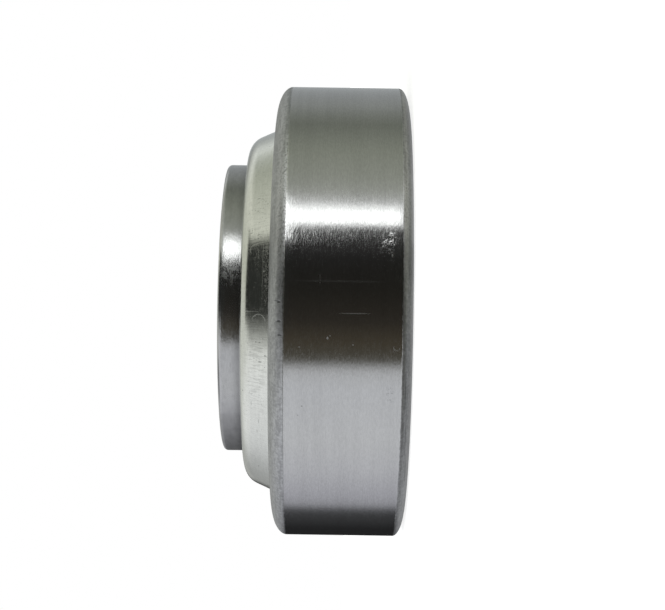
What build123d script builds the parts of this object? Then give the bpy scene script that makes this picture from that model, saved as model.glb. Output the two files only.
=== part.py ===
from build123d import *
import math
import os

# Insert ball bearing with an extended inner ring and an eccentric locking cam.
# The axis is +Z, the flush face lies on z = 0 and the extended side points up.

# Section from the bore outwards: inner wall, balls in their raceways, outer wall.
# The outside comes to 52 mm across.
bore_radius = 12.5
inner_wall = 4.45
outer_wall = 3.95
ball_count = 9
ball_radius = 3.97
race_depth = 1.42
land_radius = bore_radius + inner_wall
pitch_radius = land_radius + ball_radius - race_depth
shoulder_radius = pitch_radius + ball_radius - race_depth
outer_radius = shoulder_radius + outer_wall

# Raceways, a little wider than the balls
ball_clearance = 0.02
race_conformity = 1.04
race_radius = ball_radius * race_conformity
inner_race_centre = pitch_radius - ball_radius - ball_clearance + race_radius
outer_race_centre = pitch_radius + ball_radius + ball_clearance - race_radius

# Cage of two pressed halves, riveted between the pockets
cage_thickness = 0.8
cage_band = 3.55
cage_inner_radius = pitch_radius - cage_band / 2
cage_outer_radius = pitch_radius + cage_band / 2
pocket_clearance = 0.13
pocket_radius = ball_radius + pocket_clearance
pocket_outer_radius = pocket_radius + cage_thickness
rivet_radius = 0.6
rivet_clearance = 0.02
rivet_head_radius = 1.0
rivet_head_height = 0.5
rivet_head_round = 0.3
rivet_hole_length = 4 * cage_thickness
half_step = 180 / ball_count

# Width of the outer ring: the cage in the middle and room for a seal on each side.
# It comes to 15 mm.
cage_gap = 0.3
seal_depth = 2.3
mid_height = pocket_outer_radius + cage_gap + seal_depth
outer_width = 2 * mid_height

# Corners of the outer ring, turned as quarter ellipses, and the small edge breaks
upper_corner_height = 1.7
lower_corner_height = 1.2
face_flat = 0.4
shoulder_chamfer = 0.3
corner_depth = outer_wall - shoulder_chamfer - face_flat
bore_chamfer = 0.5
land_chamfer = 0.4
cam_end_round = 0.45

# Seals: each is a shroud, a rubber lip ring and a retainer washer in one groove
seat_depth = 0.75
seat_clearance = 0.05
groove_radius = shoulder_radius + seat_depth
rim_radius = groove_radius - seat_clearance
washer_gap = 0.35
washer_inner_radius = land_radius + washer_gap
retainer_thickness = 0.6
lip_clearance = 0.05
lip_radius = land_radius + lip_clearance
seal_body_gap = 0.6
seal_body_width = 0.5
seal_body_radius = land_radius + seal_body_gap
seal_top_gap = 0.15

# One lip, in shares of the height that it has on its seal
lip_root_share = 0.5
lip_tip_share = 0.2
lip_lean_share = 0.25

# Shroud of the extended side, which stands proud of the outer ring
shroud_thickness = 0.65
shroud_rise = 3.25
skirt_gap = 1.1
skirt_radius = shoulder_radius - skirt_gap
shroud_face_width = 2.25
shroud_face_radius = washer_inner_radius + shroud_face_width
shroud_corner_size = 2.3
shroud_corner_share = 0.9
shroud_root = 0.5
upper_lip_count = 3
lower_lip_count = 1

# Shroud of the flush side, which stays inside the outer ring
flat_thickness = 0.5
flat_recess = 0.35
flat_step_gap = 0.6
flat_step_radius = shoulder_radius - flat_step_gap
flat_step_run = 0.7
flat_corner = 0.6
flat_root = 0.3

# Heights of the upper seal, from the cage outwards
upper_retainer_low = mid_height + pocket_outer_radius + cage_gap
upper_rim_low = upper_retainer_low + retainer_thickness
upper_rim_high = upper_rim_low + shroud_thickness
shroud_top = outer_width + shroud_rise
upper_seal_top = shroud_top - shroud_thickness - seal_top_gap
skirt_slope = (skirt_radius - shroud_face_radius) / shroud_rise
skirt_foot = skirt_radius + skirt_slope * (outer_width - upper_rim_high)
shroud_turn = math.atan2(shroud_rise, skirt_radius - shroud_face_radius)
shroud_corner_limit = shroud_corner_share * shroud_face_width / math.tan(shroud_turn / 2)
shroud_corner = min(shroud_corner_size, shroud_corner_limit)

# Heights of the lower seal, from the cage outwards
lower_retainer_high = mid_height - pocket_outer_radius - cage_gap
lower_rim_high = lower_retainer_high - retainer_thickness
lower_rim_low = lower_rim_high - flat_thickness
lower_seal_bottom = flat_recess + flat_thickness

# Eccentric cam that the locking collar grips, and the whole inner ring
cam_eccentricity = 0.25
cam_step = 0.04
cam_radius = land_radius - cam_eccentricity - cam_step
cam_start = shroud_top + cam_step
cam_length = 2.46
inner_width = cam_start + cam_length


def groove_section(low, high):
    # the seat of one seal, cut out of the section of the outer ring
    middle = (low + high) / 2
    with Locations((shoulder_radius, middle)):
        Rectangle(2 * seat_depth, high - low, mode=Mode.SUBTRACT)


with BuildPart() as outer_ring:
    with BuildSketch(Plane.XZ) as outer_section:
        with BuildLine():
            upper_arc = EllipticalCenterArc(
                (outer_radius - corner_depth, outer_width - upper_corner_height),
                corner_depth,
                upper_corner_height,
                start_angle=0,
                arc_size=90,
            )
            lower_arc = EllipticalCenterArc(
                (outer_radius - corner_depth, lower_corner_height),
                corner_depth,
                lower_corner_height,
                start_angle=270,
                arc_size=90,
            )
            Line(lower_arc @ 1, upper_arc @ 0)
            Polyline(
                upper_arc @ 1,
                (shoulder_radius + shoulder_chamfer, outer_width),
                (shoulder_radius, outer_width - shoulder_chamfer),
                (shoulder_radius, shoulder_chamfer),
                (shoulder_radius + shoulder_chamfer, 0),
                lower_arc @ 0,
            )
        make_face()
        groove_section(upper_retainer_low, upper_rim_high)
        groove_section(lower_rim_low, lower_retainer_high)
        with Locations((outer_race_centre, mid_height)):
            Circle(race_radius, mode=Mode.SUBTRACT)
    revolve(axis=Axis.Z)
outer_ring.part.label = "outer_ring"

with BuildPart() as inner_ring:
    Cylinder(land_radius, cam_start, align=(Align.CENTER, Align.CENTER, Align.MIN))
    with BuildSketch(Plane.XY.offset(cam_start)):
        with Locations((cam_eccentricity, 0)):
            Circle(cam_radius)
    extrude(amount=inner_width - cam_start)
    ring_ends = inner_ring.faces().filter_by(Axis.Z).sort_by(Axis.Z)
    chamfer(ring_ends[0].edges(), land_chamfer)
    fillet(ring_ends[-1].edges(), cam_end_round)
    with BuildSketch():
        Circle(bore_radius)
    extrude(amount=inner_width, mode=Mode.SUBTRACT)
    bore_edges = inner_ring.edges().filter_by(GeomType.CIRCLE).sort_by(SortBy.RADIUS)[:2]
    chamfer(bore_edges, bore_chamfer)
    with BuildSketch(Plane.XZ):
        with Locations((inner_race_centre, mid_height)):
            Circle(race_radius)
    revolve(axis=Axis.Z, mode=Mode.SUBTRACT)
inner_ring.part.label = "inner_ring"

balls = []
for index in range(ball_count):
    with BuildPart() as ball:
        with Locations((0, 0, mid_height)):
            with PolarLocations(pitch_radius, 1, start_angle=index * 360 / ball_count):
                Sphere(ball_radius)
    ball.part.label = f"ball_{index + 1}"
    balls.append(ball.part)

cage_halves = []
for name, side in (("cage_half_upper", 1), ("cage_half_lower", -1)):
    with BuildPart() as cage_half:
        with BuildSketch(Plane.XY.offset(mid_height)):
            Circle(cage_outer_radius)
            Circle(cage_inner_radius, mode=Mode.SUBTRACT)
        extrude(amount=side * cage_thickness)
        with Locations((0, 0, mid_height)):
            with PolarLocations(pitch_radius, ball_count):
                Sphere(pocket_outer_radius)
        with BuildSketch(Plane.XY.offset(mid_height)):
            Circle(cage_outer_radius)
            Circle(cage_inner_radius, mode=Mode.SUBTRACT)
        extrude(amount=side * pocket_outer_radius, mode=Mode.INTERSECT)
        with Locations((0, 0, mid_height)):
            with PolarLocations(pitch_radius, ball_count):
                Sphere(pocket_radius, mode=Mode.SUBTRACT)
            with PolarLocations(pitch_radius, ball_count, start_angle=half_step):
                Cylinder(rivet_radius + rivet_clearance, rivet_hole_length, mode=Mode.SUBTRACT)
    cage_half.part.label = name
    cage_halves.append(cage_half.part)

with BuildPart() as cage_rivets:
    with Locations((0, 0, mid_height)):
        with PolarLocations(pitch_radius, ball_count, start_angle=half_step):
            Cylinder(rivet_radius, 2 * cage_thickness)
    for side in (1, -1):
        head_height = mid_height + side * (cage_thickness + rivet_head_height / 2)
        with Locations((0, 0, head_height)):
            with PolarLocations(pitch_radius, ball_count, start_angle=half_step):
                Cylinder(rivet_head_radius, rivet_head_height)
    head_edges = cage_rivets.edges().filter_by(GeomType.CIRCLE).group_by(Axis.Z)
    fillet([head_edges[0], head_edges[-1]], rivet_head_round)
cage_rivets.part.label = "cage_rivets"

with BuildPart() as upper_shroud:
    with BuildSketch(Plane.XZ):
        with BuildLine():
            FilletPolyline(
                (rim_radius, upper_rim_high),
                (skirt_foot, upper_rim_high),
                (shroud_face_radius, shroud_top),
                (washer_inner_radius, shroud_top),
                radius=[shroud_root, shroud_corner],
            )
            offset(amount=shroud_thickness, side=Side.LEFT)
        make_face()
    revolve(axis=Axis.Z)
upper_shroud.part.label = "upper_shroud"

with BuildPart() as lower_shroud:
    with BuildSketch(Plane.XZ):
        with BuildLine():
            FilletPolyline(
                (rim_radius, lower_rim_low),
                (flat_step_radius, lower_rim_low),
                (flat_step_radius - flat_step_run, flat_recess),
                (washer_inner_radius, flat_recess),
                radius=[flat_root, flat_corner],
            )
            offset(amount=flat_thickness, side=Side.RIGHT)
        make_face()
    revolve(axis=Axis.Z)
lower_shroud.part.label = "lower_shroud"

retainers = []
for name, low in (
    ("upper_retainer", upper_retainer_low),
    ("lower_retainer", lower_rim_high),
):
    with BuildPart() as retainer:
        with BuildSketch(Plane.XY.offset(low)):
            Circle(rim_radius)
            Circle(washer_inner_radius, mode=Mode.SUBTRACT)
        extrude(amount=retainer_thickness)
    retainer.part.label = name
    retainers.append(retainer.part)

seals = []
for name, low, high, lip_count, side in (
    ("upper_seal_lip", upper_rim_low, upper_seal_top, upper_lip_count, 1),
    ("lower_seal_lip", lower_seal_bottom, lower_rim_high, lower_lip_count, -1),
):
    with BuildPart() as seal:
        with BuildSketch(Plane.XZ):
            with Locations((seal_body_radius + seal_body_width / 2, (low + high) / 2)):
                Rectangle(seal_body_width, high - low)
            lip_pitch = (high - low) / lip_count
            root_half = lip_pitch * lip_root_share / 2
            tip_half = lip_pitch * lip_tip_share / 2
            for lip in range(lip_count):
                root = low + lip_pitch * lip + lip_pitch / 2
                tip = root + side * lip_pitch * lip_lean_share
                with BuildLine():
                    Polyline(
                        (seal_body_radius, root - root_half),
                        (lip_radius, tip - tip_half),
                        (lip_radius, tip + tip_half),
                        (seal_body_radius, root + root_half),
                        close=True,
                    )
                make_face()
        revolve(axis=Axis.Z)
    seal.part.label = name
    seals.append(seal.part)

os.makedirs("parts", exist_ok=True)
for piece in (
    outer_ring.part,
    inner_ring.part,
    *balls,
    *cage_halves,
    cage_rivets.part,
    upper_shroud.part,
    lower_shroud.part,
    *retainers,
    *seals,
):
    export_step(piece, f"parts/{piece.label}.step")
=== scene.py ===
import math

import bpy
from mathutils import Matrix, Vector


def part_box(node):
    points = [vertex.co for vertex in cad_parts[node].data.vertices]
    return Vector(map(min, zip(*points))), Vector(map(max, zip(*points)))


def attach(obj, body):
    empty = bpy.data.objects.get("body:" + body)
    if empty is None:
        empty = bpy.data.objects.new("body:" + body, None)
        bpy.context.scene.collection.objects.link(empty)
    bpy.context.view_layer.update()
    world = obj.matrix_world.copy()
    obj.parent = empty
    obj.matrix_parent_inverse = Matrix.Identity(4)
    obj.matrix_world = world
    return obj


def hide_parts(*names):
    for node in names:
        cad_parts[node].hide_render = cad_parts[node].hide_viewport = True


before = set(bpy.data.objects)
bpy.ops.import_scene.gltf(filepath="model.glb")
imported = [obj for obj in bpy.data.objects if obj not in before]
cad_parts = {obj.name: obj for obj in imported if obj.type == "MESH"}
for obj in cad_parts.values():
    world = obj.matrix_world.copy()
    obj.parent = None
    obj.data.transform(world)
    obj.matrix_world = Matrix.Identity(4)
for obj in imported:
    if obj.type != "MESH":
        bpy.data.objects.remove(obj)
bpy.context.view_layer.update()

mm = 0.001
black = (0.0, 0.0, 0.0, 1.0)
white = (1.0, 1.0, 1.0, 1.0)
scene = bpy.context.scene
scene.view_settings.view_transform = "Standard"


class Wire:
    # a shader socket that takes part in arithmetic: every operator adds one Math node
    def __init__(self, graph, socket):
        self.graph = graph
        self.socket = socket

    def __add__(self, other):
        return self.graph.maths("ADD", self, other)

    __radd__ = __add__

    def __sub__(self, other):
        return self.graph.maths("SUBTRACT", self, other)

    def __rsub__(self, other):
        return self.graph.maths("SUBTRACT", other, self)

    def __mul__(self, other):
        return self.graph.maths("MULTIPLY", self, other)

    __rmul__ = __mul__

    def __truediv__(self, other):
        return self.graph.maths("DIVIDE", self, other)

    def __rtruediv__(self, other):
        return self.graph.maths("DIVIDE", other, self)

    def __abs__(self):
        return self.graph.maths("ABSOLUTE", self)


class Graph:
    # a node tree that is filled one node at a time
    def __init__(self, tree):
        self.tree = tree
        tree.nodes.clear()

    def node(self, kind, settings=None, inputs=None, give=None):
        # settings come first, inputs are values or wires, and give names the output to go on with
        made = self.tree.nodes.new(kind)
        for key, value in (settings or {}).items():
            if key == "stops":
                self.fillRamp(made.color_ramp, value)
            else:
                setattr(made, key, value)
        for key, value in (inputs or {}).items():
            if isinstance(value, Wire):
                self.tree.links.new(value.socket, made.inputs[key])
            else:
                made.inputs[key].default_value = value
        return Wire(self, made.outputs[give]) if give is not None else made

    def maths(self, operation, *values):
        return self.node("ShaderNodeMath", {"operation": operation}, dict(enumerate(values)), "Value")

    def most(self, *wires):
        # the largest of several wires at each point
        largest, *others = wires
        for other in others:
            largest = self.maths("MAXIMUM", largest, other)
        return largest

    def fillRamp(self, ramp, stops):
        while len(ramp.elements) < len(stops):
            ramp.elements.new(1.0)
        for element, (place, colour) in zip(ramp.elements, stops):
            element.position = place
            element.color = (*colour, 1.0)

    def smooth(self, value, low, high, start=0.0, end=1.0):
        # goes softly from start to end while value goes from low to high
        settings = {"interpolation_type": "SMOOTHSTEP"}
        inputs = {"Value": value, "From Min": low, "From Max": high, "To Min": start, "To Max": end}
        return self.node("ShaderNodeMapRange", settings, inputs, "Result")

    def blend(self, factor, first, second):
        settings = {"data_type": "RGBA"}
        return self.node("ShaderNodeMix", settings, {0: factor, 6: first, 7: second}, 2)

    def place(self):
        # the point on the piece in millimetres, as a vector and as its three parts
        spot = self.node("ShaderNodeTexCoord", give="Object")
        scaled = self.node("ShaderNodeVectorMath", {"operation": "SCALE"}, {0: spot, "Scale": 1 / mm}, 0)
        split = self.node("ShaderNodeSeparateXYZ", inputs={0: scaled})
        return scaled, [Wire(self, socket) for socket in split.outputs]

    def around(self, x, y, radius):
        # arc length in millimetres from the side that faces the lens, counted up the picture
        return self.maths("ARCTAN2", x, 0 - y) * radius

    def marks(self, arcAt, height, table, soft=0.45, arcEnds=0.4):
        # one mask for all the small marks of a table: "at" is the arc and the height of a mark's middle in mm
        # and "half" its half sizes; one with "line" is only the part of its outline that lies "towards"
        joined = self.node("ShaderNodeCombineXYZ", inputs={0: arcAt, 1: height}, give=0)
        masks = []
        for mark in table:
            (centreArc, centreHeight), (halfArc, halfHeight) = mark["at"], mark["half"]
            moved = self.node("ShaderNodeVectorMath", {"operation": "MULTIPLY_ADD"}, {
                0: joined, 1: (1 / halfArc, 1 / halfHeight, 0.0),
                2: (-centreArc / halfArc, -centreHeight / halfHeight, 0.0)}, 0)
            away = self.node("ShaderNodeVectorMath", {"operation": "LENGTH"}, {0: moved}, "Value")
            if "line" in mark:
                one = self.smooth(abs(away - 1), mark["line"] / 2, mark["line"], mark["weight"], 0.0)
                kept = self.node("ShaderNodeVectorMath", {"operation": "DOT_PRODUCT"}, {
                    0: moved, 1: (*mark["towards"], 0.0)}, "Value")
                one = one * self.smooth(kept, 0.0, arcEnds)
            else:
                one = self.smooth(away, 1 - soft, 1.0, mark["weight"], 0.0)
            masks.append(one)
        return self.most(*masks)

    def reach(self, x, y):
        # distance from the bearing axis
        return self.maths("SQRT", x * x + y * y)

    def turning(self, x, y, z, radius, middle):
        # a place that changes only slowly round the axis and quickly across turned corners and faces
        reach = self.reach(x, y)
        return self.node("ShaderNodeCombineXYZ", inputs={
            0: x / reach * radius, 1: y / reach * radius, 2: abs(z - middle) - reach}, give=0)

    def grain(self, spot, stretch, detail, shift):
        # noise with stretch spots to the millimetre each way; the shift sets one grain apart from another
        moved = self.node("ShaderNodeVectorMath", {"operation": "MULTIPLY_ADD"},
                          {0: spot, 1: stretch, 2: (shift, shift, shift)}, 0)
        inputs = {"Vector": moved, "Scale": 1.0, "Detail": detail}
        return self.node("ShaderNodeTexNoise", None, inputs, "Fac")


def newMaterial(name):
    material = bpy.data.materials.new(name)
    material.use_nodes = True
    return material, Graph(material.node_tree)


def finishSurface(graph, colour, roughness, height, depth, metallic=1.0):
    # closes a material: depth is how many millimetres a height of 1 stands up
    bump = graph.node("ShaderNodeBump", inputs={
        "Strength": 1.0, "Distance": depth * mm, "Height": height}, give="Normal")
    shader = graph.node("ShaderNodeBsdfPrincipled", inputs={
        "Base Color": colour, "Roughness": roughness, "Metallic": metallic, "Normal": bump}, give="BSDF")
    graph.node("ShaderNodeOutputMaterial", inputs={"Surface": shader})


def arc(centre, radii, start, end, steps):
    # points of an ellipse arc in the section plane, angles in degrees from outwards to upwards
    points = []
    for step in range(steps + 1):
        angle = math.radians(start + (end - start) * step / steps)
        points.append((centre[0] + radii[0] * math.cos(angle), centre[1] + radii[1] * math.sin(angle)))
    return points


def along(start, end, steps):
    # evenly spaced points between two corners of a section, both left out
    return [tuple(a + (b - a) * step / steps for a, b in zip(start, end)) for step in range(1, steps)]


def lathe(name, section, body, replaced, material, sides=384, creaseDegrees=24):
    # turns a closed section of (radius, height) or (radius, height, shift) in mm about the bearing axis
    rows = [point if len(point) == 3 else (*point, 0.0) for point in section]
    vertices = []
    for side in range(sides):
        angle = 2 * math.pi * side / sides
        for radius, height, shift in rows:
            x = radius * math.cos(angle) + shift
            vertices.append((x * mm, radius * math.sin(angle) * mm, height * mm))
    faces = []
    count = len(rows)
    for side in range(sides):
        here, there = side * count, (side + 1) % sides * count
        for row in range(count):
            after = (row + 1) % count
            faces.append((here + row, there + row, there + after, here + after))
    mesh = bpy.data.meshes.new(name)
    mesh.from_pydata(vertices, [], faces)
    mesh.update()
    mesh.polygons.foreach_set("use_smooth", [True] * len(mesh.polygons))
    mesh.set_sharp_from_angle(angle=math.radians(creaseDegrees))
    mesh.materials.append(material)
    piece = bpy.data.objects.new(name, mesh)
    scene.collection.objects.link(piece)
    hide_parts(replaced)
    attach(piece, body)
    return piece


camera = {
    "distance": 187.6,  # from the bearing axis, mm
    "height": 7.64,  # above the table, mm
    "focal": 86.54,  # mm
    "sensor": 36.0,  # mm wide
    "clipStart": 0.01,  # metres
    "turn": -0.25,  # degrees, small angles left by the hand-held shot
    "tilt": -0.22,
    "roll": -0.86,
}


def addCamera(look):
    # the axis runs level across the picture, so the camera lies on its side
    data = bpy.data.cameras.new("camera")
    data.lens = look["focal"]
    data.sensor_width = look["sensor"]
    data.clip_start = look["clipStart"]
    holder = bpy.data.objects.new("camera", data)
    scene.collection.objects.link(holder)
    lying = Matrix(((0, 1, 0), (0, 0, -1), (-1, 0, 0)))
    turn = Matrix.Rotation(math.radians(-look["turn"]), 3, "Y")
    tilt = Matrix.Rotation(math.radians(-look["tilt"]), 3, "X")
    roll = Matrix.Rotation(math.radians(-look["roll"]), 3, "Z")
    facing = (lying @ turn @ tilt @ roll).to_4x4()
    holder.matrix_world = Matrix.Translation((0, -look["distance"] * mm, look["height"] * mm)) @ facing
    scene.camera = holder


addCamera(camera)
print("camera placed")

studio = {
    # what level steel mirrors: degrees round the bearing axis, up the picture from the lens, level, tint
    "level": [
        (-180, 0.014, (0.97, 0.99, 1.03)),
        (-143, 0.022, (0.97, 0.99, 1.03)),
        (-124, 0.062, (0.97, 0.99, 1.03)),
        (-119, 0.11, (0.97, 0.99, 1.05)),
        (-112, 0.46, (0.97, 0.98, 1.06)),
        (-104, 0.56, (0.97, 0.98, 1.06)),
        (-84, 0.71, (0.975, 0.99, 1.04)),
        (-66, 0.765, (0.98, 1.0, 1.03)),
        (-38, 0.745, (0.975, 1.0, 1.04)),
        (-29.0, 0.67, (0.98, 1.0, 1.02)),
        (-24.0, 0.082, (1.06, 1.0, 0.78)),
        (-15, 0.062, (1.17, 0.98, 0.68)),
        (-5, 0.031, (1.15, 1.0, 0.80)),
        (10, 0.019, (1.08, 1.0, 0.82)),
        (26, 0.017, (1.0, 1.0, 0.92)),
        (41.5, 0.05, (1.0, 1.0, 0.98)),
        (44.5, 0.62, (1.0, 1.0, 1.0)),
        (54, 0.66, (0.98, 1.0, 0.98)),
        (61, 0.47, (0.96, 1.0, 0.90)),
        (70, 0.405, (0.95, 1.0, 0.86)),
        (85, 0.35, (0.94, 1.0, 0.83)),
        (107, 0.222, (0.93, 1.0, 0.84)),
        (114, 0.262, (0.94, 1.0, 0.88)),
        (126, 0.345, (0.95, 1.0, 0.95)),
        (141, 0.37, (0.95, 1.0, 1.0)),
        (180, 0.46, (0.94, 1.0, 1.03)),
    ],
    # the same for steel that leans back and mirrors what is higher up
    "upper": [
        (-180, 0.48, (0.98, 1.0, 0.95)),
        (-150, 0.36, (0.98, 1.0, 1.01)),
        (-122, 0.50, (0.98, 1.0, 1.05)),
        (-102, 0.76, (0.98, 1.0, 1.06)),
        (-62, 0.865, (0.985, 1.0, 1.055)),
        (-25, 0.79, (0.985, 1.0, 1.02)),
        (30, 0.61, (0.965, 1.0, 0.94)),
        (50, 0.63, (0.96, 1.0, 0.94)),
        (72, 0.62, (0.955, 1.0, 0.91)),
        (90, 0.48, (0.95, 1.0, 0.87)),
        (112, 0.36, (0.945, 1.0, 0.85)),
        (125, 0.47, (0.95, 1.0, 0.92)),
        (139, 0.82, (0.97, 1.0, 0.98)),
        (163, 0.27, (0.97, 1.0, 0.98)),
        (180, 0.42, (0.98, 1.0, 0.90)),
    ],
    "upperHeight": (6.0, 24.0),  # degrees above level where the upper band takes over
    "lowSide": (-130.0, -105.0),  # degrees round the axis where those two heights change
    "lowSideHeight": (-1.0, -11.0),  # and by how much
    "overheadHeight": (18.0, 50.0),  # degrees above level where the next band takes over
    # what steel mirrors that faces the ceiling: degrees up the picture, level, tint
    "overhead": [
        (-57, 0.70, (0.985, 1.0, 1.035)),
        (-46, 0.82, (0.985, 1.0, 1.035)),
        (-35, 0.85, (0.985, 1.0, 1.03)),
        (-23, 0.81, (0.985, 1.0, 1.01)),
        (-15, 0.70, (0.98, 1.0, 0.98)),
        (10, 0.555, (0.973, 1.0, 0.88)),
        (36, 0.685, (0.985, 1.0, 0.90)),
        (41, 0.675, (0.985, 1.0, 0.90)),
        (47, 0.57, (0.98, 1.0, 0.89)),
        (54, 0.53, (0.975, 1.0, 0.88)),
        (57, 0.47, (0.975, 1.0, 0.88)),
    ],
    # the dark behind the lens, seen in leaning steel, in degrees
    "lensLow": (-13.0, 14.0),  # middle of its soft lower edge in the picture, and half that edge's width
    "lensLowLean": (9.0, -9.0),  # how both change towards the zenith
    "lensLean": (50.0, 88.0),  # where that change starts and stops, over the lens
    "lensHigh": (32.9, 42.0),  # its upper edge in the picture
    "lensHighLean": -7.5,  # how far that edge moves towards the zenith
    "lensBack": (84.0, 98.0),  # where it ends behind the zenith
    "lensHeight": (1.0, 12.0),  # where it starts above level
    "lensDark": (0.026, 0.0275, 0.0255),
    # the lamp, wider a few degrees above level
    "keyLow": (41.5, 44.5),  # its soft edges, degrees round the axis
    "keyHigh": (47.8, 55.9),
    "keyWiden": (3.5, 4.1),  # the heights where it starts and stops to widen
    "keyWider": (7.9, 5.0),  # and by how much down and up the picture
    "keyTop": (5.5, 10.0),  # the heights where it fades out
    "keyBottom": (-12.0, -3.0),
    "keyColour": (0.98, 1.0, 0.985),
    "keyStrength": 2.4,
    # under level, round the axis again
    "below": [
        (-180, 0.33, (0.98, 1.0, 1.0)),
        (-150, 0.51, (0.98, 1.0, 1.03)),
        (-115, 0.40, (0.98, 1.0, 1.03)),
        (-85, 0.30, (0.98, 1.0, 1.02)),
        (-60, 0.22, (0.98, 1.0, 0.98)),
        (-40, 0.22, (0.98, 1.0, 0.93)),
        (-15, 0.14, (0.965, 1.0, 0.86)),
        (5, 0.10, (0.96, 1.0, 0.84)),
        (24, 0.14, (0.965, 1.0, 0.86)),
        (45, 0.66, (0.985, 1.0, 0.90)),
        (66, 0.62, (0.985, 1.0, 0.88)),
        (90, 0.32, (0.97, 1.0, 0.86)),
        (115, 0.42, (0.97, 1.0, 0.88)),
        (138, 0.64, (0.975, 1.0, 0.90)),
        (152, 0.31, (0.96, 1.0, 0.93)),
        (162, 0.22, (0.96, 1.0, 0.93)),
        (180, 0.33, (0.96, 1.0, 0.88)),
    ],
    "belowMiddle": (6.0, 17.0),  # degrees from the middle of the picture over which a darker stretch ends
    "belowMiddleDark": 0.22,
    "belowHeight": (-26.0, -8.0),  # the heights over which this band gives way to the level one
    "behind": (0.75, 0.98),  # how far straight back, for steel seen edge on
    "behindLight": (0.86, 0.87, 0.88),
    "backdrop": (1.0, 1.0, 1.0),
}


def ringRamp(graph, around, table):
    stops = []
    for degrees, level, tint in table:
        stops.append(((degrees + 180) / 360, tuple(level * part for part in tint)))
    return graph.node("ShaderNodeValToRGB", {"stops": stops}, {"Fac": (around + 180) / 360}, "Color")


def addStudio(look):
    world = bpy.data.worlds.new("studio")
    scene.world = world
    world.use_nodes = True
    graph = Graph(world.node_tree)
    facing = graph.node("ShaderNodeTexCoord", give="Generated")
    split = graph.node("ShaderNodeSeparateXYZ", inputs={0: facing})
    x, y, z = [Wire(graph, socket) for socket in split.outputs]
    inDegrees = math.degrees(1)
    around = graph.maths("ARCTAN2", x, 0 - y) * inDegrees
    height = graph.maths("ARCSINE", z) * inDegrees
    aside = graph.maths("ARCSINE", x) * inDegrees
    over = graph.maths("ARCTAN2", z, 0 - y) * inDegrees
    level = ringRamp(graph, around, look["level"])
    upper = ringRamp(graph, around, look["upper"])
    overhead = ringRamp(graph, aside, look["overhead"])
    lowSide = graph.smooth(around, *look["lowSide"], 1.0, 0.0)
    upperEdges = zip(look["upperHeight"], look["lowSideHeight"])
    start, stop = [edge + lowSide * change for edge, change in upperEdges]
    seen = graph.blend(graph.smooth(height, start, stop), level, upper)
    seen = graph.blend(graph.smooth(height, *look["overheadHeight"]), seen, overhead)
    lean = graph.smooth(over, *look["lensLean"])
    lowEdge = zip(look["lensLow"], look["lensLowLean"])
    middle, half = [part + lean * change for part, change in lowEdge]
    lens = graph.smooth((aside - middle) / half, -1.0, 1.0)
    lens = lens * graph.smooth(aside - lean * look["lensHighLean"], *look["lensHigh"], 1.0, 0.0)
    lens = lens * graph.smooth(over, *look["lensBack"], 1.0, 0.0)
    lens = lens * graph.smooth(height, *look["lensHeight"])
    seen = graph.blend(lens, seen, (*look["lensDark"], 1.0))
    below = ringRamp(graph, around, look["below"])
    middleDark = graph.smooth(abs(aside), *look["belowMiddle"], look["belowMiddleDark"], 0.0)
    below = graph.blend(middleDark, below, black)
    below = graph.blend(graph.smooth(y, *look["behind"]), below, (*look["behindLight"], 1.0))
    seen = graph.blend(graph.smooth(height, *look["belowHeight"], 1.0, 0.0), seen, below)
    widen = graph.smooth(height, *look["keyWiden"])
    down, up = look["keyWider"]
    key = graph.smooth(around + widen * down, *look["keyLow"])
    key = key * graph.smooth(around - widen * up, *look["keyHigh"], 1.0, 0.0)
    key = key * graph.smooth(height, *look["keyTop"], 1.0, 0.0)
    key = key * graph.smooth(height, *look["keyBottom"])
    soft = graph.node("ShaderNodeBackground", inputs={"Color": seen}, give=0)
    bright = graph.node("ShaderNodeBackground", inputs={
        "Color": (*look["keyColour"], 1.0), "Strength": look["keyStrength"]}, give=0)
    lit = graph.node("ShaderNodeMixShader", inputs={0: key, 1: soft, 2: bright}, give=0)
    plain = graph.node("ShaderNodeBackground", inputs={"Color": (*look["backdrop"], 1.0)}, give=0)
    path = graph.node("ShaderNodeLightPath", give="Is Camera Ray")
    shown = graph.node("ShaderNodeMixShader", inputs={0: path, 1: lit, 2: plain}, give=0)
    graph.node("ShaderNodeOutputWorld", inputs={"Surface": shown})


floor = {
    "size": 3.0,  # metres
    "colour": (0.86, 0.86, 0.86),
    "lift": 0.75,  # glow seen by the camera alone, so that the lit floor is white and a shadow stays grey
}


def addFloor(look):
    half = look["size"] / 2
    corners = [(-half, -half, 0), (half, -half, 0), (half, half, 0), (-half, half, 0)]
    mesh = bpy.data.meshes.new("floor")
    mesh.from_pydata(corners, [], [(0, 1, 2, 3)])
    piece = bpy.data.objects.new("floor", mesh)
    scene.collection.objects.link(piece)
    material, graph = newMaterial("floorPaper")
    paper = graph.node("ShaderNodeBsdfDiffuse", inputs={"Color": (*look["colour"], 1.0)}, give=0)
    glow = graph.node("ShaderNodeEmission", inputs={"Color": white, "Strength": look["lift"]}, give=0)
    clear = graph.node("ShaderNodeBsdfTransparent", give=0)
    path = graph.node("ShaderNodeLightPath")
    toLens, toMetal = [Wire(graph, path.outputs[name]) for name in ("Is Camera Ray", "Is Glossy Ray")]
    both = graph.node("ShaderNodeAddShader", inputs={0: paper, 1: glow}, give=0)
    seen = graph.node("ShaderNodeMixShader", inputs={0: toLens, 1: paper, 2: both}, give=0)
    seen = graph.node("ShaderNodeMixShader", inputs={0: toMetal, 1: seen, 2: clear}, give=0)
    graph.node("ShaderNodeOutputMaterial", inputs={"Surface": seen})
    mesh.materials.append(material)


addStudio(studio)
addFloor(floor)
print("studio and floor made")

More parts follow.
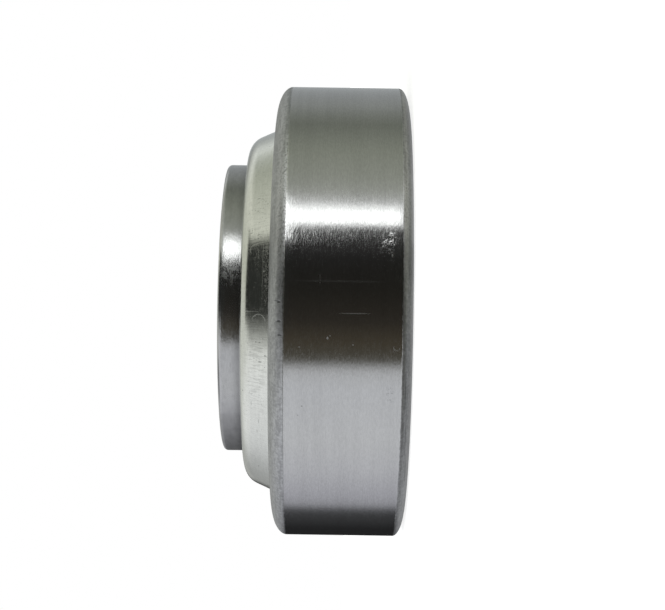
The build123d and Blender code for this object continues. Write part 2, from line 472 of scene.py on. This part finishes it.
steel = {
    "ground": (0.565, 0.565, 0.565),
    "cam": (0.52, 0.52, 0.52),
    "turned": (0.455, 0.46, 0.462),
    "zinc": (0.78, 0.79, 0.74),
    "polished": (0.66, 0.66, 0.67),
    "sheet": (0.50, 0.50, 0.49),
    "washer": (0.525, 0.525, 0.5145),
    "rivet": (0.575, 0.575, 0.5635),
}


def shade(colour, factor):
    return (colour[0] * factor, colour[1] * factor, colour[2] * factor, 1.0)


def twoTone(graph, factor, colour, tones):
    # from a darker to a lighter shade of one colour
    low, high = tones
    return graph.blend(factor, shade(colour, low), shade(colour, high))


def mixed(factor, first, second):
    # blends numbers, as blend does with colours
    return first + (second - first) * factor


outerRing = {
    # mm, as in the solids
    "wall": 3.95,  # from the inside to the ground outside
    "shoulderChamfer": 0.3,
    "faceFlat": 0.4,  # flat of each end face, between the chamfer and the turned corner
    "upperCorner": 1.7,  # height of each turned corner
    "lowerCorner": 1.2,
    "raceRadius": 4.129,
    "raceClearance": 0.02,
    "raceDepth": 1.42,
    "seatDepth": 0.75,
    "upperSeat": (12.7, 13.95),  # heights between which each seal sits
    "lowerSeat": (1.2, 2.3),
    "steps": {"lowerCorner": 20, "upperCorner": 24, "outside": 12, "race": 28},  # stretches in each
    "sides": 512,
}


def outerSection(size):
    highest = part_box("outer_ring")[1] / mm
    outside, width = highest.x, highest.z
    shoulder = outside - size["wall"]
    depth = size["wall"] - size["shoulderChamfer"] - size["faceFlat"]
    chamfer = size["shoulderChamfer"]
    seat = shoulder + size["seatDepth"]
    raceMiddle = shoulder + size["raceDepth"] + size["raceClearance"] - size["raceRadius"]
    spread = math.degrees(math.acos((shoulder - raceMiddle) / size["raceRadius"]))
    low, high, steps = size["lowerCorner"], size["upperCorner"], size["steps"]
    lower = arc((outside - depth, low), (depth, low), -90, 0, steps["lowerCorner"])
    upper = arc((outside - depth, width - high), (depth, high), 0, 90, steps["upperCorner"])
    radii = (size["raceRadius"], size["raceRadius"])
    race = arc((raceMiddle, width / 2), radii, spread, -spread, steps["race"])
    top, bottom = size["upperSeat"], size["lowerSeat"]
    return [
        *lower, *along(lower[-1], upper[0], steps["outside"]), *upper,
        (shoulder + chamfer, width), (shoulder, width - chamfer),
        (shoulder, top[1]), (seat, top[1]), (seat, top[0]), (shoulder, top[0]),
        *race,
        (shoulder, bottom[1]), (seat, bottom[1]), (seat, bottom[0]), (shoulder, bottom[0]),
        (shoulder, chamfer), (shoulder + chamfer, 0.0),
    ]


outerFinish = {
    # a grain has its spots to the mm along x, y and z, its detail and its shift
    # a span has the values between which a mask goes from none to full, or to the two values that follow
    "wander": ((1.5, 1.5, 1.5), 4.0, 0.0),  # moves the edges of the ground land
    "wanderBy": 0.16,  # mm in all
    "edgeSpan": (-0.03, 0.03),  # mm over which the land ends
    "rows": ((0.03, 0.03, 1.1), 3.0, 9.0),  # broad rows round the ring
    "grind": ((0.35, 0.35, 7.0), 2.0, 0.0),  # grinding lines
    "grindShare": 0.5,
    "toneSpan": (0.30, 0.70),
    "landTones": (0.965, 1.035),
    "grindDepth": 0.0018,  # mm, as every depth here
    "fine": ((2.0, 2.0, 9.0), 3.0, 7.0),
    "fineSpan": (0.46, 0.66),
    "landRough": (0.121, 0.179),
    "fleck": ((2.2, 2.2, 8.5), 1.0, 17.0),
    "fleckSpan": (0.3, 0.7),
    "fleckTones": (0.955, 1.045),
    "fleckDepth": 0.0038,
    "streak": ((0.5, 0.5, 2.6), 4.0, 3.0),  # long and short grain of the turned corners
    "grit": ((3.6, 3.6, 2.4), 3.0, 23.0),
    "streakShare": 0.45,
    "turnedSpan": (0.38, 0.62),
    "turnedTones": (0.80, 1.20),
    "turnedDepth": 0.028,
    "turnedRough": (0.465, 0.41),  # on the upper and the lower corner
    "borderRough": 0.30,  # smoother at the upper corner's edge with the land
    "borderWidth": 0.25,  # mm
    "lowerBorderWidth": 0.05,
    "speck": ((4.5, 4.5, 5.0), 3.0, 11.0),
    "speckSpan": (0.60, 0.72),
    "speckTone": 0.7,
    "speckDepth": 0.012,
    "paintedSparkleSpan": (0.36, 0.56),
    "paintedSparkleTone": 1.25,
    "smear": ((3.6, 3.6, 4.6), 2.0, 13.0),  # breaks up the mirror where the land is speckled
    "smearSpan": (0.54, 0.62),
    "patch": ((1.2, 1.2, 1.2), 1.0, 31.0),
    "patchSpan": (0.42, 0.56, 0.3, 1.0),
    "speckledRough": 0.30,
    "peckDepth": 0.025,
    "scuffSpan": (0.50, 0.66),
    "scuffWeight": 0.5,
    "glintRough": 0.62,
    "nickDepth": 0.03,
    "nickAndShadeTone": 0.35,
    # painted highlight: bright specks painted into the colour along the edge of the land and on the lower
    # corner
    "paintedHighlights": [
        {"at": (12.5, 13.4), "half": (12.5, 0.34), "weight": 1.0},
        {"at": (10.5, 13.7), "half": (9.5, 0.8), "weight": 0.55},
        {"at": (12.0, 0.4), "half": (5.5, 1.3), "weight": 0.45},
    ],
    # painted shade: patches of the turned corners painted darker
    "paintedShadePatches": [
        {"at": (6.0, 14.9), "half": (6.5, 0.9), "weight": 0.40},
        {"at": (24.5, 0.4), "half": (7.5, 1.3), "weight": 0.42},
        {"at": (5.2, 0.4), "half": (3.6, 1.3), "weight": 0.40},
    ],
    # pale scratches, which scatter the light
    "glints": [
        {"at": (3.05, 7.5), "half": (0.15, 5.9), "weight": 0.19},
        {"at": (3.35, 9.65), "half": (0.80, 0.05), "weight": 0.25},
        {"at": (-0.20, 6.1), "half": (0.06, 2.1), "weight": 0.55},
        {"at": (-2.73, 8.80), "half": (0.17, 0.11), "weight": 1.0},
        {"at": (-2.50, 8.55), "half": (0.09, 0.07), "weight": 0.8},
        {"at": (-3.41, 6.21), "half": (0.08, 0.07), "weight": 0.8},
        {"at": (-3.70, 11.68), "half": (0.08, 0.08), "weight": 0.8},
        {"at": (-3.50, 1.75), "half": (0.42, 0.36), "weight": 0.25, "line": 0.18, "towards": (-1.0, 0.3)},
    ],
    # small dents and dark lines
    "nicks": [
        {"at": (1.00, 14.05), "half": (0.09, 0.36), "weight": 0.7},
        {"at": (0.86, 13.80), "half": (0.16, 0.22), "weight": 0.95},
        {"at": (-1.08, 13.78), "half": (0.15, 0.26), "weight": 0.95},
        {"at": (-2.50, 13.68), "half": (0.12, 0.27), "weight": 0.9},
        {"at": (-9.99, 11.32), "half": (0.10, 0.10), "weight": 0.35},
        {"at": (-11.03, 11.73), "half": (0.09, 0.09), "weight": 0.3},
        {"at": (-8.8, 0.78), "half": (2.4, 0.06), "weight": 0.6},
        {"at": (-13.5, 0.62), "half": (3.6, 0.05), "weight": 0.7},
        {"at": (-18.8, 0.50), "half": (2.6, 0.07), "weight": 0.6},
    ],
    "scuff": [{"at": (-8.6, 2.35), "half": (1.5, 0.6), "weight": 1.0}],
    "speckled": [
        {"at": (6.6, 2.5), "half": (2.9, 1.3), "weight": 1.0},
        {"at": (7.3, 12.3), "half": (2.2, 0.7), "weight": 0.3},
    ],
}


def outerSteel(look, size):
    material, graph = newMaterial("outerRingSteel")
    spot, (x, y, z) = graph.place()
    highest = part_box("outer_ring")[1] / mm
    arcAt = graph.around(x, y, highest.x)
    upperEdge, lowerEdge = highest.z - size["upperCorner"], size["lowerCorner"]
    wander = (graph.grain(spot, *look["wander"]) - 0.5) * look["wanderBy"]
    above = z + wander - upperEdge
    under = lowerEdge - z - wander
    land = graph.smooth(graph.most(above, under), *look["edgeSpan"], 1.0, 0.0)
    rows = graph.grain(spot, *look["rows"])
    grind = graph.grain(spot, *look["grind"])
    fine = graph.grain(spot, *look["fine"])
    fleck = graph.grain(spot, *look["fleck"])
    smear = graph.grain(spot, *look["smear"])
    patch = graph.grain(spot, *look["patch"])
    turning = graph.turning(x, y, z, highest.x, highest.z / 2)
    streak = graph.grain(turning, *look["streak"])
    grit = graph.grain(turning, *look["grit"])
    turned = streak * look["streakShare"] + grit * (1 - look["streakShare"])
    speck = graph.grain(turning, *look["speck"])

    pecked = graph.marks(arcAt, z, look["speckled"], soft=0.8) * graph.smooth(patch, *look["patchSpan"])
    speckled = pecked * graph.smooth(smear, *look["smearSpan"])
    # painted highlight: specks where the colour is made brighter than the steel
    paintedSparkle = graph.marks(arcAt, z, look["paintedHighlights"], soft=0.6) * graph.smooth(speck, *look["paintedSparkleSpan"])
    scuff = graph.marks(arcAt, z, look["scuff"], soft=0.9) * graph.smooth(speck, *look["scuffSpan"])
    glint = graph.marks(arcAt, z, look["glints"])
    nick = graph.marks(arcAt, z, look["nicks"])
    paintedShade = graph.marks(arcAt, z, look["paintedShadePatches"], soft=0.8)

    landRough = graph.smooth(fine, *look["fineSpan"], *look["landRough"])
    landRough = mixed(speckled, landRough, look["speckledRough"])
    upperRough, lowerRough = look["turnedRough"]
    upperTurned = graph.smooth(above, 0.0, look["borderWidth"], look["borderRough"], upperRough)
    lowerTurned = graph.smooth(under, 0.0, look["lowerBorderWidth"], 0.0, lowerRough)
    roughness = landRough * land + graph.most(upperTurned, lowerTurned) * (1 - land)
    roughness = mixed(glint, roughness, look["glintRough"])

    tone = graph.smooth(rows + (grind - 0.5) * look["grindShare"], *look["toneSpan"])
    landColour = twoTone(graph, tone, steel["ground"], look["landTones"])
    flecked = twoTone(graph, graph.smooth(fleck, *look["fleckSpan"]), white, look["fleckTones"])
    landColour = graph.node("ShaderNodeMix", {"data_type": "RGBA", "blend_type": "MULTIPLY"},
                            {0: 1.0, 6: landColour, 7: flecked}, 2)
    turnedTone = graph.smooth(turned, *look["turnedSpan"])
    turnedColour = twoTone(graph, turnedTone, steel["turned"], look["turnedTones"])
    specked = graph.smooth(speck, *look["speckSpan"])
    turnedColour = graph.blend(specked, turnedColour, shade(steel["turned"], look["speckTone"]))
    colour = graph.blend(land, turnedColour, landColour)
    # painted highlight on those specks
    colour = graph.blend(paintedSparkle, colour, shade(steel["polished"], look["paintedSparkleTone"]))
    # nicks and the scuff darken the colour as marks; the corner patches add painted shade
    dark = graph.most(nick, scuff * look["scuffWeight"], paintedShade)
    colour = graph.blend(dark, colour, shade(steel["turned"], look["nickAndShadeTone"]))

    height = grind * look["grindDepth"] + fleck * look["fleckDepth"] + pecked * smear * look["peckDepth"]
    height = height * land - nick * look["nickDepth"]
    height = height + (turned * look["turnedDepth"] + speck * look["speckDepth"]) * (1 - land)
    finishSurface(graph, colour, roughness, height, 1.0)  # the height is in mm already
    return material


innerRing = {
    # radii, heights and widths in mm, as in the solids
    "bore": 12.5,
    "land": 16.95,
    "raceRadius": 4.129,
    "raceDepth": 1.42,
    "raceClearance": 0.02,
    "raceHeight": 7.5,
    "camStart": 18.29,
    "camRadius": 16.66,
    "camShift": 0.25,
    "boreChamfer": 0.5,
    "endRound": 0.45,
    "lowerChamfer": 0.4,
    "steps": {"race": 28, "cam": 4, "endRound": 8, "bore": 8},  # stretches in each
    "sides": 512,
}


def innerSection(size):
    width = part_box("inner_ring")[1].z / mm
    land, bore, cam = size["land"], size["bore"], size["camRadius"]
    chamfer, shift = size["boreChamfer"], size["camShift"]
    end, low = size["endRound"], size["lowerChamfer"]
    raceMiddle = land - size["raceDepth"] - size["raceClearance"] + size["raceRadius"]
    spread = math.degrees(math.acos((raceMiddle - land) / size["raceRadius"]))
    radii = (size["raceRadius"], size["raceRadius"])
    start, steps = size["camStart"], size["steps"]
    race = arc((raceMiddle, size["raceHeight"]), radii, 180 + spread, 180 - spread, steps["race"])
    rounded = arc((cam - end, width - end), (end, end), 0, 90, steps["endRound"])
    rounded = [(*point, shift) for point in rounded]
    return [
        (bore + chamfer, 0.0), (land - low, 0.0), (land, low), *race,
        (land, start), (cam, start, shift), *along((cam, start, shift), rounded[0], steps["cam"]), *rounded,
        (bore + chamfer, width), (bore, width - chamfer),
        *along((bore, width - chamfer), (bore, chamfer), steps["bore"]), (bore, chamfer),
    ]


innerFinish = {
    "grind": ((0.9, 0.9, 6.0), 3.0, 0.0),
    "grindSpan": (0.25, 0.75),
    "tones": (0.965, 1.035),
    "fine": ((1.4, 1.4, 5.5), 3.0, 5.0),
    "fineSpan": (0.40, 0.62),
    "rough": (0.17, 0.205),
    "fleck": ((2.6, 2.6, 5.0), 2.0, 2.0),
    "fleckDepth": 0.0085,
    "mottle": ((1.1, 1.1, 1.6), 4.0, 21.0),
    "cloudSpan": (0.40, 0.72, 0.0, 0.10),
    "front": (-2.0, 6.0),  # mm behind the axis between which the dull low side, the painted shade on the low side and the painted shade by the shroud there fade
    "outside": (15.3, 16.0),  # radii between which they fade towards the bore
    "smear": ((3.2, 3.2, 6.0), 3.0, 13.0),  # breaks up the mirror where the cam is speckled
    "smearSpan": (0.45, 0.59),
    "speckledRough": 0.40,
    "paintedHighlightTone": 1.53,
    "dullRough": 0.46,
    "dullSide": (-14.0, -8.5),  # arcs in mm up the picture between which the dull low side ends
    "dullWander": 3.0,  # mm in all by which that end wanders
    "paintedLowShade": (-13.4, -12.3, 0.14, 0.0),  # arcs between which the side turns from painted shade to plain
    "grooveReach": (18.3, 19.35),  # heights in mm between which the painted shade by the shroud fades
    "paintedShroudShade": (0.18, 0.36),  # at the top and at the low side of the picture
    "grooveTurn": (-2.0, 3.0),  # arcs in mm between which it goes from the one to the other
    # painted shade: a thin dark line where the end rounding starts
    "paintedEdgeShade": [{"at": (-8.2, 20.60), "half": (4.6, 0.12), "weight": 0.62}],
    "speckled": [{"at": (3.9, 19.6), "half": (2.1, 1.8), "weight": 1.0}],
    # painted highlight: the cam's colour is made brighter round its highlight
    "paintedHighlights": [{"at": (6.3, 19.7), "half": (3.2, 2.6), "weight": 1.0}],
    "smudges": [
        {"at": (-15.6, 19.0), "half": (1.2, 0.45), "weight": 0.16},
        {"at": (-6.2, 19.3), "half": (0.5, 0.18), "weight": 0.14},
        {"at": (-3.0, 18.9), "half": (0.7, 0.14), "weight": 0.20},
        {"at": (-8.8, 20.1), "half": (0.35, 0.12), "weight": 0.10},
    ],
}


def camSteel(look, size):
    material, graph = newMaterial("innerRingSteel")
    spot, (x, y, z) = graph.place()
    arcAt = graph.around(x, y, size["camRadius"])
    grind = graph.grain(spot, *look["grind"])
    fine = graph.grain(spot, *look["fine"])
    fleck = graph.grain(spot, *look["fleck"])
    mottle = graph.grain(spot, *look["mottle"])
    smear = graph.grain(spot, *look["smear"])

    outside = graph.smooth(graph.reach(x, y), *look["outside"])
    front = graph.smooth(y, *look["front"], 1.0, 0.0) * outside
    speckled = graph.marks(arcAt, z, look["speckled"], soft=0.8) * graph.smooth(smear, *look["smearSpan"])
    paintedHighlights = graph.marks(arcAt, z, look["paintedHighlights"], soft=0.8) * outside
    smudge = graph.marks(arcAt, z, look["smudges"], soft=0.9)
    # painted shade line at the end rounding
    edge = graph.marks(arcAt, z, look["paintedEdgeShade"], soft=0.7)
    dull = graph.smooth(arcAt + (mottle - 0.5) * look["dullWander"], *look["dullSide"], 1.0, 0.0) * front

    roughness = graph.smooth(fine, *look["fineSpan"], *look["rough"])
    roughness = mixed(speckled * outside, roughness, look["speckledRough"])
    roughness = mixed(dull, roughness, look["dullRough"])

    colour = twoTone(graph, graph.smooth(grind, *look["grindSpan"]), steel["cam"], look["tones"])
    # painted highlight on the cam
    colour = graph.blend(paintedHighlights, colour, shade(steel["cam"], look["paintedHighlightTone"]))
    cloud = graph.smooth(mottle, *look["cloudSpan"])
    # painted shade: the cam is darkened next to the shroud
    paintedTopShade, paintedLowSideShade = look["paintedShroudShade"]
    paintedShroudShade = paintedTopShade + graph.smooth(arcAt, *look["grooveTurn"], paintedLowSideShade - paintedTopShade, 0.0) * front
    paintedShroudShadeMask = graph.smooth(z, *look["grooveReach"], 1.0, 0.0) * paintedShroudShade
    paintedLowShade = graph.smooth(arcAt, *look["paintedLowShade"]) * front
    # cloud and smudges are the cam's own marks; the shroud, edge and low side darkening is painted shade
    dark = 1 - (1 - cloud) * (1 - paintedShroudShadeMask) * (1 - smudge) * (1 - edge) * (1 - paintedLowShade)
    colour = graph.blend(dark, colour, black)
    finishSurface(graph, colour, roughness, fleck, look["fleckDepth"])
    return material


shroud = {
    # radii, heights and bend radii in mm, as in the solids
    "thickness": 0.65,
    "rim": 22.8,
    "rimTop": 13.95,
    "foot": 21.0,
    "footHeight": 15.0,
    "face": 19.55,
    "hole": 17.3,
    "corner": 2.3,
    "root": 0.5,
}


def bentSheet(points, radii, thickness, side, steps=12):
    # outline of a pressed sheet: a path with rounded bends, and its offset to one side
    path = [(Vector(points[0]), None)]
    for before, corner, after, radius in zip(points, points[1:], points[2:], radii):
        a = (Vector(before) - Vector(corner)).normalized()
        b = (Vector(after) - Vector(corner)).normalized()
        half = a.angle(b) / 2
        centre = Vector(corner) + (a + b).normalized() * radius / math.sin(half)
        start = Vector(corner) + a * radius / math.tan(half) - centre
        turn = math.pi - 2 * half
        sign = 1 if start.x * b.y - start.y * b.x > 0 else -1
        for step in range(steps + 1):
            angle = sign * turn * step / steps
            arm = Vector((start.x * math.cos(angle) - start.y * math.sin(angle),
                          start.x * math.sin(angle) + start.y * math.cos(angle)))
            path.append((centre + arm, arm.normalized() * -sign * side))
    path.append((Vector(points[-1]), None))
    outline, offset = [], []
    for index, (point, normal) in enumerate(path):
        if normal is None:
            ahead = path[1][0] - path[0][0] if index == 0 else path[-1][0] - path[-2][0]
            normal = Vector((-ahead.y, ahead.x)).normalized() * side
        outline.append(tuple(point))
        offset.append(tuple(point + normal * thickness))
    return outline + offset[::-1]


def upperShroudSection(size):
    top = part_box("upper_shroud")[1].z / mm
    slope = (size["foot"] - size["face"]) / (top - size["footHeight"])
    foot = size["foot"] + slope * (size["footHeight"] - size["rimTop"])
    rimTop = size["rimTop"]
    points = [(size["rim"], rimTop), (foot, rimTop), (size["face"], top), (size["hole"], top)]
    return bentSheet(points, (size["root"], size["corner"]), size["thickness"], 1)


zincFinish = {
    "drawn": ((0.9, 0.9, 5.0), 3.0, 4.0),  # lines left by the press
    "drawnSpan": (0.3, 0.7),
    "tones": (0.965, 1.035),
    "fine": ((2.0, 2.0, 11.0), 3.0, 8.0),
    "fineSpan": (0.40, 0.70),
    "rough": (0.10, 0.22),
    "cloud": ((0.4, 0.4, 0.4), 3.0, 9.0),
    "hatch": ((6.5, 6.5, 0.7), 2.0, 4.0),  # short lines up the sheet
    "hatchSpan": (0.46, 0.64),
    "hatchRough": 0.6,
    "hatchDark": (0.06, 0.20),  # everywhere, and added where it is marked
    "hatchTone": 0.3,
    "pits": ((4.5, 4.5, 4.5), 2.0, 6.0),
    "pitSpan": (0.72, 0.77),
    "speckedSpan": (0.62, 0.67),
    "pitTone": 0.4,
    "dimSpan": (0.55, 0.75, 0.0, 0.18),  # softer dark round the pits
    "burr": ((4.5, 4.5, 9.0), 2.0, 12.0),
    "burrSpan": (0.36, 0.66),
    "scuffedRough": 0.42,
    "glintRough": 0.55,
    "depth": 0.010,  # mm, and each grain's share of it
    "drawnDepth": 0.3,
    "hatchDepth": 0.25,
    "pitDepth": 0.6,
    "glints": [
        {"at": (6.5, 16.55), "half": (0.55, 0.60), "weight": 0.35, "line": 0.12, "towards": (0.5, 0.9)},
        {"at": (-1.2, 16.1), "half": (0.75, 0.72), "weight": 0.45, "line": 0.10, "towards": (1.0, -0.2)},
        {"at": (3.9, 15.75), "half": (4.2, 0.055), "weight": 0.40},
        {"at": (-0.15, 16.7), "half": (0.05, 1.1), "weight": 0.40},
        {"at": (4.0, 15.6), "half": (0.12, 0.10), "weight": 0.9},
        {"at": (5.0, 15.65), "half": (0.10, 0.08), "weight": 0.8},
    ],
    "nicks": [
        {"at": (12.67, 16.43), "half": (0.07, 0.20), "weight": 0.7},
        {"at": (11.21, 16.77), "half": (0.09, 0.08), "weight": 0.5},
        {"at": (9.54, 16.25), "half": (0.05, 0.15), "weight": 0.4},
        {"at": (8.43, 17.06), "half": (0.06, 0.15), "weight": 0.5},
        {"at": (-3.35, 16.35), "half": (0.10, 0.10), "weight": 0.6},
        {"at": (-3.37, 15.95), "half": (0.09, 0.14), "weight": 0.6},
        {"at": (-3.95, 15.95), "half": (0.06, 0.50), "weight": 0.5},
        {"at": (-5.13, 16.54), "half": (0.05, 0.14), "weight": 0.5},
        {"at": (-5.42, 15.91), "half": (0.09, 0.24), "weight": 0.9},
        {"at": (-10.46, 16.88), "half": (0.40, 0.05), "weight": 0.6},
        {"at": (-12.55, 16.10), "half": (0.34, 0.05), "weight": 0.6},
        {"at": (-14.0, 16.3), "half": (0.25, 0.05), "weight": 0.5},
    ],
    "scuffed": [
        {"at": (3.6, 15.3), "half": (5.4, 0.62), "weight": 0.9},
        {"at": (5.2, 16.3), "half": (2.6, 0.55), "weight": 0.5},
    ],
    "hatched": [{"at": (-7.0, 16.3), "half": (6.5, 1.5), "weight": 1.0}],
    "specked": [
        {"at": (11.5, 15.9), "half": (2.8, 1.2), "weight": 0.5},
        {"at": (7.8, 16.5), "half": (0.8, 1.0), "weight": 0.7},
    ],
}


def zincPlate(look, size):
    material, graph = newMaterial("zincPlate")
    spot, (x, y, z) = graph.place()
    arcAt = graph.around(x, y, (size["foot"] + size["face"]) / 2)
    drawn = graph.grain(spot, *look["drawn"])
    fine = graph.grain(spot, *look["fine"])
    cloud = graph.grain(spot, *look["cloud"])
    pits = graph.grain(spot, *look["pits"])
    burr = graph.grain(spot, *look["burr"])
    hatch = graph.grain(graph.turning(x, y, z, size["foot"], 0.0), *look["hatch"])

    everywhere, added = look["hatchDark"]
    hatched = graph.marks(arcAt, z, look["hatched"], soft=0.8) * added + everywhere
    hatched = graph.smooth(hatch, *look["hatchSpan"]) * hatched
    specked = graph.marks(arcAt, z, look["specked"], soft=0.8) * graph.smooth(pits, *look["speckedSpan"])
    pit = graph.most(graph.smooth(pits, *look["pitSpan"]), specked)
    scuffed = graph.marks(arcAt, z, look["scuffed"], soft=0.9) * graph.smooth(burr, *look["burrSpan"])
    glint = graph.marks(arcAt, z, look["glints"])
    nick = graph.marks(arcAt, z, look["nicks"])

    uneven = fine + (hatch - 0.5) * look["hatchRough"]
    roughness = graph.smooth(uneven, *look["fineSpan"], *look["rough"])
    roughness = mixed(scuffed, roughness, look["scuffedRough"])
    roughness = mixed(glint, roughness, look["glintRough"])

    colour = twoTone(graph, graph.smooth(drawn, *look["drawnSpan"]), steel["zinc"], look["tones"])
    colour = graph.blend(hatched, colour, shade(steel["zinc"], look["hatchTone"]))
    pitColour = shade(steel["zinc"], look["pitTone"])
    colour = graph.blend(graph.smooth(pits, *look["dimSpan"]), colour, pitColour)
    colour = graph.blend(graph.most(pit, nick), colour, pitColour)

    height = drawn * look["drawnDepth"] + cloud + hatch * look["hatchDepth"] - pit * look["pitDepth"]
    finishSurface(graph, colour, roughness, height, look["depth"])
    return material


flatShroud = {
    # the same for the flush side, held inside the width of the ring
    "thickness": 0.5,
    "rim": 22.8,
    "rimBottom": 1.2,
    "step": 21.45,
    "stepRun": 0.7,
    "hole": 17.3,
    "recess": 0.35,
    "corner": 0.6,
    "root": 0.3,
}


def lowerShroudSection(size):
    points = [(size["rim"], size["rimBottom"]), (size["step"], size["rimBottom"]),
              (size["step"] - size["stepRun"], size["recess"]), (size["hole"], size["recess"])]
    return bentSheet(points, (size["root"], size["corner"]), size["thickness"], -1)


sealLips = {
    "body": 17.55,  # inner radius, mm
    "bodyWidth": 0.5,
    "lip": 17.0,  # radius of the tips
    "rootShare": 0.5,  # shares of the pitch from lip to lip
    "tipShare": 0.2,
    "leanShare": 0.25,
    "upperCount": 3,
    "lowerCount": 1,
    "lowerBottom": 0.85,
    "lowerTop": 1.7,
}


def lipSection(size, low, high, count, side):
    body, outer = size["body"], size["body"] + size["bodyWidth"]
    pitch = (high - low) / count
    outline = [(outer, low), (outer, high), (body, high)]
    for lip in reversed(range(count)):
        root = low + pitch * lip + pitch / 2
        tip = root + side * pitch * size["leanShare"]
        outline.append((body, root + pitch * size["rootShare"] / 2))
        outline.append((size["lip"], tip + pitch * size["tipShare"] / 2))
        outline.append((size["lip"], tip - pitch * size["tipShare"] / 2))
        outline.append((body, root - pitch * size["rootShare"] / 2))
    outline.append((body, low))
    return outline


rubberFinish = {
    "mottle": ((2.5, 2.5, 2.5), 4.0, 0.0),
    "skin": ((14.0, 14.0, 14.0), 2.0, 0.0),
    "dark": (0.018, 0.018, 0.018, 1.0),
    "pale": (0.04, 0.038, 0.036, 1.0),
    "rough": (0.42, 0.62),
    "depth": 0.01,  # mm
}


def sealRubber(look):
    material, graph = newMaterial("sealRubber")
    spot, _ = graph.place()
    mottle = graph.grain(spot, *look["mottle"])
    skin = graph.grain(spot, *look["skin"])
    colour = graph.blend(mottle, look["dark"], look["pale"])
    roughness = mixed(mottle, *look["rough"])
    finishSurface(graph, colour, roughness, skin, look["depth"], metallic=0.0)
    return material


outerMaterial = outerSteel(outerFinish, outerRing)
lathe("outerRing", outerSection(outerRing), "outer", "outer_ring", outerMaterial, sides=outerRing["sides"])
print("outer ring turned")

innerMaterial = camSteel(innerFinish, innerRing)
lathe("innerRing", innerSection(innerRing), "inner", "inner_ring", innerMaterial, sides=innerRing["sides"])
print("inner ring turned")

zinc = zincPlate(zincFinish, shroud)
lathe("upperShroud", upperShroudSection(shroud), "outer", "upper_shroud", zinc)
lathe("lowerShroud", lowerShroudSection(flatShroud), "outer", "lower_shroud", zinc)
print("shrouds pressed")

rubber = sealRubber(rubberFinish)
upperLow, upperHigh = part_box("upper_seal_lip")[0].z / mm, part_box("upper_seal_lip")[1].z / mm
upperLips = lipSection(sealLips, upperLow, upperHigh, sealLips["upperCount"], 1)
lowerLips = lipSection(sealLips, sealLips["lowerBottom"], sealLips["lowerTop"], sealLips["lowerCount"], -1)
lathe("upperSealLips", upperLips, "outer", "upper_seal_lip", rubber)
lathe("lowerSealLips", lowerLips, "outer", "lower_seal_lip", rubber)
print("seal lips moulded")

plainFinish = {
    "grindSpan": (0.25, 0.75),
    "tones": (0.94, 1.05),
    "fine": ((1.1, 1.1, 4.5), 4.0, 5.0),
    "fineSpan": (0.42, 0.66),
    "cloud": ((0.25, 0.25, 0.25), 2.0, 2.0),
    "cloudSpan": (0.4, 0.75, 0.0, 0.5),
    "cloudTone": 0.9,
}
sheetFinish = {**plainFinish, "rough": (0.28, 0.42), "grind": ((0.8, 0.8, 3.0), 3.0, 0.0), "depth": 0.008}
ballFinish = {**plainFinish, "rough": (0.05, 0.10), "grind": ((0.6, 0.6, 0.6), 3.0, 0.0), "depth": 0.001}


def plainSteel(name, colour, look):
    # for the pieces inside, whose solids are shown as they are
    material, graph = newMaterial(name)
    spot, _ = graph.place()
    grind = graph.grain(spot, *look["grind"])
    fine = graph.grain(spot, *look["fine"])
    cloud = graph.grain(spot, *look["cloud"])
    roughness = graph.smooth(fine, *look["fineSpan"], *look["rough"])
    tone = twoTone(graph, graph.smooth(grind, *look["grindSpan"]), colour, look["tones"])
    tone = graph.blend(graph.smooth(cloud, *look["cloudSpan"]), tone, shade(colour, look["cloudTone"]))
    finishSurface(graph, tone, roughness, grind, look["depth"])
    return material


sheetSteel = plainSteel("cageSteel", steel["sheet"], sheetFinish)
washerSteel = plainSteel("washerSteel", steel["washer"], sheetFinish)
rivetSteel = plainSteel("rivetSteel", steel["rivet"], sheetFinish)
ballSteel = plainSteel("ballSteel", steel["polished"], ballFinish)
keptNodes = {
    "cage_half_upper": sheetSteel,
    "cage_half_lower": sheetSteel,
    "cage_rivets": rivetSteel,
    "upper_retainer": washerSteel,
    "lower_retainer": washerSteel,
}
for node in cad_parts:
    if node.startswith("ball_"):
        keptNodes[node] = ballSteel
for node, material in keptNodes.items():
    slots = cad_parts[node].data.materials
    slots.clear()
    slots.append(material)
print("inner pieces finished")
